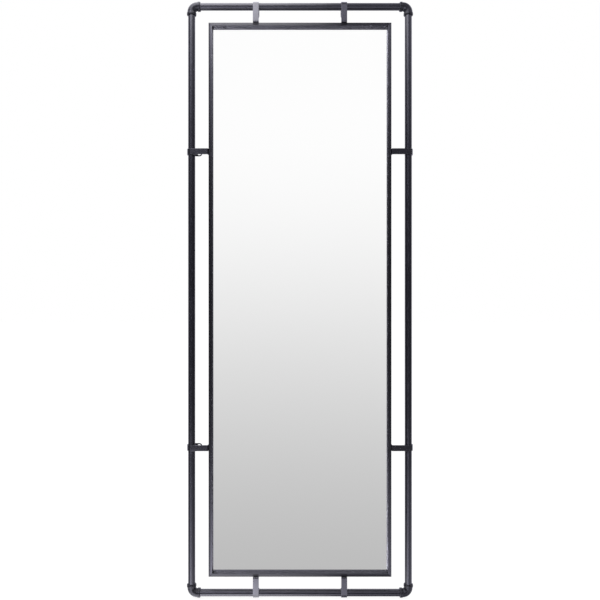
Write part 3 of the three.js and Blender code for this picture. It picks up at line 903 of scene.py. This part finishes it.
def make_straps():
    plain, eyed = strap_pattern(False), strap_pattern(True)
    screw = screw_pattern(radius=3.5, height=2.2, shank=1.8, grip=7.5, slot=0.9)
    half_x, seat_y = SPAN_X / 2, STRAP_INNER + STRAP_THICK + SCREW_GAP
    places = (
        ("top_left", eyed, -STRAP_X, AXIS_TOP, QUARTER),
        ("top_right", eyed, STRAP_X, AXIS_TOP, QUARTER),
        ("bottom_left", plain, -STRAP_X, AXIS_BOTTOM, -QUARTER),
        ("bottom_right", plain, STRAP_X, AXIS_BOTTOM, -QUARTER),
        ("left_upper", eyed, -half_x, MIDDLE_Z + STRAP_Z, 0),
        ("left_lower", eyed, -half_x, MIDDLE_Z - STRAP_Z, 0),
        ("right_upper", plain, half_x, MIDDLE_Z + STRAP_Z, 2 * QUARTER),
        ("right_lower", plain, half_x, MIDDLE_Z - STRAP_Z, 2 * QUARTER),
    )
    for number, (where, pattern, x, z, turn) in enumerate(places):
        piece = placed(pattern, f"strap_{where}_bar", (x, 0, z), turn)
        belongs(piece, f"strap_{where}", "strap", STRAP_LACQUER)
        twist = 0.35 + 1.1 * number
        piece = placed(screw, f"pipe_screw_{where}_head", (x, seat_y, z), 0, twist)
        belongs(piece, f"pipe_screw_{where}", "black_screw", SCREW_BLACK)
        seat = about_y(turn) @ Vector((FOOT_X - SCREW_GAP, 0, 0))
        piece = placed(
            screw, f"frame_screw_{where}_head", (x + seat.x, FRAME_SCREW_Y, z + seat.z),
            turn, twist + 0.6, tip=(0, 0, QUARTER),
        )
        belongs(piece, f"frame_screw_{where}", "black_screw", SCREW_BLACK)
    discard(plain, eyed, screw)


def clip_pattern():
    """A pressed clip along +X, from the back of the frame down onto the board."""
    bpy.ops.mesh.primitive_plane_add(
        size=CLIP_WIDTH * MM, rotation=(QUARTER, 0, 0),
        location=((CLIP_FROM + CLIP_WIDTH / 2) * MM, CLIP_UNDER * MM, 0),
    )
    clip = added("clip_pattern")
    edit(clip)
    choose("EDGE", at(x=CLIP_FROM + CLIP_WIDTH))
    move(x=CLIP_BEND - CLIP_FROM - CLIP_WIDTH)
    draw_out(x=CLIP_FLAT - CLIP_BEND, y=-CLIP_DROP)
    draw_out(x=CLIP_TO - CLIP_FLAT)
    choose("EDGE", lambda e: at(x=CLIP_BEND)(e) or at(x=CLIP_FLAT)(e))
    bpy.ops.mesh.bevel(offset=1.1 * MM, segments=4)
    choose("VERT", at(x=CLIP_TO))
    bpy.ops.mesh.bevel(offset=4 * MM, segments=8, affect="VERTICES")
    choose("VERT", at(x=CLIP_FROM))
    bpy.ops.mesh.bevel(offset=1.2 * MM, segments=4, affect="VERTICES")
    tidy_normals()
    # its flat end looks back
    look(clip, 1, lambda f: middle(f).x > CLIP_FLAT + 2)
    done()
    modify(clip, "SOLIDIFY", thickness=CLIP_THICK * MM, offset=1)
    soften(clip, 0.15, 2, 40)
    return clip


def make_clips():
    clip = clip_pattern()
    screw = screw_pattern(radius=2.7, height=1.8, shank=1.2, grip=7, slot=0.75)
    seat_y = CLIP_UNDER + CLIP_THICK + SCREW_GAP
    top, bottom = MIDDLE_Z + FRAME_HALF_Z, MIDDLE_Z - FRAME_HALF_Z
    for number, (where, x, z, turn) in enumerate((
        ("top", 0, top, QUARTER),
        ("bottom", 0, bottom, -QUARTER),
        ("left_upper", -FRAME_HALF_X, MIDDLE_Z + CLIP_Z, 0),
        ("left_lower", -FRAME_HALF_X, MIDDLE_Z - CLIP_Z, 0),
        ("right_upper", FRAME_HALF_X, MIDDLE_Z + CLIP_Z, 2 * QUARTER),
        ("right_lower", FRAME_HALF_X, MIDDLE_Z - CLIP_Z, 2 * QUARTER),
    )):
        piece = placed(clip, f"clip_{where}_plate", (x, 0, z), turn)
        belongs(piece, f"clip_{where}", "clip", ZINC)
        hole = about_y(turn) @ Vector((CLIP_SCREW_X, 0, 0))
        piece = placed(
            screw, f"clip_screw_{where}_head", (x + hole.x, seat_y, z + hole.z), 0,
            0.5 + 0.8 * number,
        )
        belongs(piece, f"clip_screw_{where}", "zinc_screw", ZINC)
    discard(clip, screw)


# ------------------------------------------------------------------ camera, light and floor

# In metres
CAMERA_PLACE = (0, -1.6416, 0.8125)
LAMPS_AIM = (0, 0, 0.8)
FLOOR_SIZE = 40


def make_camera():
    bpy.ops.object.camera_add(location=CAMERA_PLACE, rotation=(QUARTER, 0, 0))
    camera = bpy.context.object
    camera.name = "photo_camera"
    camera.data.sensor_width = camera.data.lens = 36
    scene.camera = camera


def level(grey):
    """The linear light of a grey level from 0 to 255."""
    share = grey / 255
    return share / 12.92 if share < 0.04045 else ((share + 0.055) / 1.055) ** 2.4


def wall_grey(rise):
    """The wall's grey level at an elevation: an eased step."""
    (low, dark), (high, bright) = WALL_LOW, WALL_HIGH
    share = min(max((rise - low) / (high - low), 0), 1)
    return dark + (bright - dark) * share**2 * (3 - 2 * share)


def ramp(tree, value, low, high, stops, at_x=0, at_y=0):
    """The light at a value between two ends, from stops of value and light. The node holds
    light up to 1 only, so brighter stops are scaled down and the result scaled back."""
    top = max(1, *(light for _, light in stops))
    value = spread(tree, value, low, high, at_x=at_x - 200, at_y=at_y)
    node = put(tree, "ShaderNodeValToRGB", at_x, at_y)
    tree.links.new(value, node.inputs[0])
    elements = node.color_ramp.elements
    while len(elements) < len(stops):
        elements.new(0.5)
    for element, (place, light) in zip(elements, sorted(stops)):
        element.position = (place - low) / (high - low)
        element.color = (light / top, light / top, light / top, 1)
    return math_node(tree, "MULTIPLY", node.outputs[0], top, at_x=at_x + 280, at_y=at_y)


# The studio's wall in the mirror brightens smoothly from one elevation and grey level to the
# other, in degrees and levels from 0 to 255
WALL_LOW, WALL_HIGH = (-34, 182), (17, 254)
# What satin surfaces show on the camera's side, by degrees below and above the horizon
ROOM = [(-90, 0.9), (-60, 1.0), (-45, 1.6), (-32, 4.6), (-26, 5.0), (-20, 1.4), (-15, 0.15),
        (-10, 0.07), (0, 0.0), (10, 0.07), (15, 0.2), (20, 1.2), (26, 3.7), (32, 3.9),
        (45, 1.7), (60, 1.0), (90, 0.9)]
# How strong that is from far left (-1) to far right (1)
ACROSS = [(-1, 0.1), (-0.75, 0.2), (-0.5, 0.8), (-0.35, 1.7), (-0.2, 2.2), (-0.15, 1.5),
          (-0.1, 0.45), (0.08, 0.4), (0.4, 0.42), (1, 0.4)]
# What satin surfaces show behind the object, and how it takes over from the camera's side
# (-1) to the far side (1)
REAR = [(-90, 0.7), (-50, 0.9), (-25, 1.0), (-5, 0.75), (10, 0.7), (25, 1.3), (45, 2.2),
        (60, 1.6), (90, 1.3)]
BEHIND = [(-1, 0), (-0.02, 0), (0.4, 1), (1, 1)]
EVEN_LIGHT = 0.13  # in every direction on the camera's side
ROOM_TINT = (0.92, 0.91, 1.10)
MATT_LIGHT, WHITE = (0.75, 0.75, 0.75), (1.0, 1.0, 1.0)
# Glow of the two reflectors, by distance to the right in metres
GLOW = [(-1.3, 0.0), (-0.8, 0.2), (-0.55, 0.7), (-0.38, 1.0), (-0.05, 0.85), (0, 0.6),
        (0.1, 0.36), (0.16, 0.22), (0.23, 0.12), (0.35, 0.04), (0.5, 0.0)]
GLOW_LEFT, GLOW_RIGHT = GLOW[0][0], GLOW[-1][0]
FLOOR_GREY = (0.8, 0.8, 0.8)
# The camera sees the floor as a glow near white, and a shade that takes the object's shadow
FLOOR_GLOW, FLOOR_SHADE = 0.88, (0.2, 0.2, 0.2)


def make_world():
    """White where the camera looks, the studio's wall in the mirror, a soft room round the
    lacquer, also where the lacquer looks into the mirror, and plain light on matt surfaces."""
    world = bpy.data.worlds.new("studio")
    world.use_nodes = True
    world.cycles.sampling_method = "NONE"
    scene.world = world
    tree = world.node_tree
    tree.nodes.clear()
    out = put(tree, "ShaderNodeOutputWorld", 1200)
    ray = put(tree, "ShaderNodeLightPath", 400, 500).outputs
    way = put(tree, "ShaderNodeTexCoord", -1400)
    part = put(tree, "ShaderNodeSeparateXYZ", -1200)
    tree.links.new(way.outputs["Generated"], part.inputs[0])
    rise = math_node(tree, "ARCSINE", part.outputs["Z"], at_x=-1000)
    rise = math_node(tree, "DEGREES", rise, at_x=-850)
    rises = range(WALL_LOW[0], WALL_HIGH[0] + 1, 3)  # a stop every 3 degrees
    wall = ramp(tree, rise, -90, 90, [(e, level(wall_grey(e))) for e in rises], -400, 300)
    room = ramp(tree, rise, -90, 90, ROOM, -400, 50)
    side = ramp(tree, part.outputs["X"], -1, 1, ACROSS, -400, -200)
    room = math_node(tree, "MULTIPLY_ADD", room, side, EVEN_LIGHT, at_x=50)
    deep = ramp(tree, part.outputs["Y"], -1, 1, BEHIND, -400, -450)
    rear = ramp(tree, rise, -90, 90, REAR, -400, -700)
    studio = blend_colour(tree, deep, room, rear, 250, -100)
    studio = blend_colour(tree, 1.0, studio, ROOM_TINT, 380, -100, "MULTIPLY")
    beyond = math_node(tree, "GREATER_THAN", ray["Glossy Depth"], 1.5, at_x=500, at_y=300)
    mirrored = blend_colour(tree, beyond, wall, studio, 500, 150)
    light = blend_colour(tree, ray["Is Glossy Ray"], MATT_LIGHT, studio, 500, 0)
    light = blend_colour(tree, ray["Is Singular Ray"], light, mirrored, 650, 0)
    light = blend_colour(tree, ray["Is Camera Ray"], light, WHITE, 800, 0)
    background = put(tree, "ShaderNodeBackground", 1000)
    tree.links.new(light, background.inputs["Color"])
    tree.links.new(background.outputs[0], out.inputs["Surface"])


def make_floor():
    """A pale floor that the camera sees as white with a faint shadow, and that polished and
    lacquered surfaces look through to the studio."""
    bpy.ops.mesh.primitive_plane_add(size=FLOOR_SIZE, location=(0, 0, 0))
    floor = added("floor")
    material = bpy.data.materials.new("pale_floor")
    material.use_nodes = True
    tree = material.node_tree
    tree.nodes.clear()
    out = put(tree, "ShaderNodeOutputMaterial", 800)
    ray = put(tree, "ShaderNodeLightPath", -600, 400).outputs
    matt = put(tree, "ShaderNodeBsdfDiffuse", -400, 100)
    feed(tree, matt.inputs["Color"], FLOOR_GREY)
    tint = put(tree, "ShaderNodeBsdfDiffuse", -400, -50)
    feed(tree, tint.inputs["Color"], FLOOR_SHADE)
    glow = put(tree, "ShaderNodeEmission", -400, -200)
    feed(tree, glow.inputs["Strength"], FLOOR_GLOW)
    white = put(tree, "ShaderNodeAddShader", -200, -100)
    tree.links.new(tint.outputs[0], white.inputs[0])
    tree.links.new(glow.outputs[0], white.inputs[1])
    seen = put(tree, "ShaderNodeMixShader", 0, 0)
    tree.links.new(ray["Is Camera Ray"], seen.inputs[0])
    tree.links.new(matt.outputs[0], seen.inputs[1])
    tree.links.new(white.outputs[0], seen.inputs[2])
    clear = put(tree, "ShaderNodeBsdfTransparent", 0, -200)
    mixed = put(tree, "ShaderNodeMixShader", 400, 0)
    tree.links.new(ray["Is Glossy Ray"], mixed.inputs[0])
    tree.links.new(seen.outputs[0], mixed.inputs[1])
    tree.links.new(clear.outputs[0], mixed.inputs[2])
    tree.links.new(mixed.outputs[0], out.inputs["Surface"])
    floor.data.materials.append(material)


def reflector_material(name, strength):
    """Adds light for satin surfaces alone, strongest to the left of the object."""
    material = bpy.data.materials.new(name)
    material.use_nodes = True
    material.cycles.emission_sampling = "NONE"
    tree = material.node_tree
    tree.nodes.clear()
    out = put(tree, "ShaderNodeOutputMaterial", 600)
    ray = put(tree, "ShaderNodeLightPath", -600, 300).outputs
    satin = math_node(
        tree, "SUBTRACT", ray["Is Glossy Ray"], ray["Is Singular Ray"], clamp=True, at_x=-300,
        at_y=300,
    )
    place = put(tree, "ShaderNodeTexCoord", -900)
    part = put(tree, "ShaderNodeSeparateXYZ", -700)
    tree.links.new(place.outputs["Object"], part.inputs[0])
    glow = ramp(tree, part.outputs["X"], GLOW_LEFT, GLOW_RIGHT, GLOW, -300)
    glow = math_node(tree, "MULTIPLY", glow, strength, at_x=100)
    glow = math_node(tree, "MULTIPLY", glow, satin, at_x=150, at_y=100)
    lamp = put(tree, "ShaderNodeEmission", 300)
    lamp.inputs["Color"].default_value = (0.98, 0.98, 1.0, 1)
    tree.links.new(glow, lamp.inputs["Strength"])
    clear = put(tree, "ShaderNodeBsdfTransparent", 300, -150)
    both = put(tree, "ShaderNodeAddShader", 450)
    tree.links.new(lamp.outputs[0], both.inputs[0])
    tree.links.new(clear.outputs[0], both.inputs[1])
    tree.links.new(both.outputs[0], out.inputs["Surface"])
    return material


def make_reflectors():
    """One reflector above the object and one below, both in front of it."""
    middle_x, width = (GLOW_LEFT + GLOW_RIGHT) / 2, GLOW_RIGHT - GLOW_LEFT
    for name, z, near, far, strength in (
        ("reflector_above", 1.95, -0.05, -0.75, 4.6),
        ("reflector_below", -0.32, -0.05, -0.6, 2.8),
    ):
        bpy.ops.mesh.primitive_plane_add(
            size=1, location=(middle_x, (near + far) / 2, z), scale=(width, near - far, 1)
        )
        reflector = added(name)
        reflector.data.materials.append(reflector_material(name + "_glow", strength))


def make_lamps():
    """A large soft lamp at the upper left, a weaker one at the upper right, and one behind."""
    for name, place, size, power in (
        ("key_softbox", (-1.8, -2.2, 2.6), 1.6, 34),
        ("fill_softbox", (2.2, -1.8, 1.8), 1.4, 12),
        ("back_softbox", (0.8, 2.6, 2.4), 1.6, 22),
    ):
        aim = Vector(LAMPS_AIM) - Vector(place)
        bpy.ops.object.light_add(
            type="AREA", location=place, rotation=aim.to_track_quat("-Z", "Y").to_euler()
        )
        lamp = bpy.context.object
        lamp.name = name
        lamp.data.size, lamp.data.energy = size, power
        lamp.visible_camera = lamp.visible_glossy = False


make_camera()
make_pipe_frame()
make_mirror_frame()
make_glass_and_board()
make_straps()
make_clips()
make_world()
make_floor()
make_reflectors()
make_lamps()
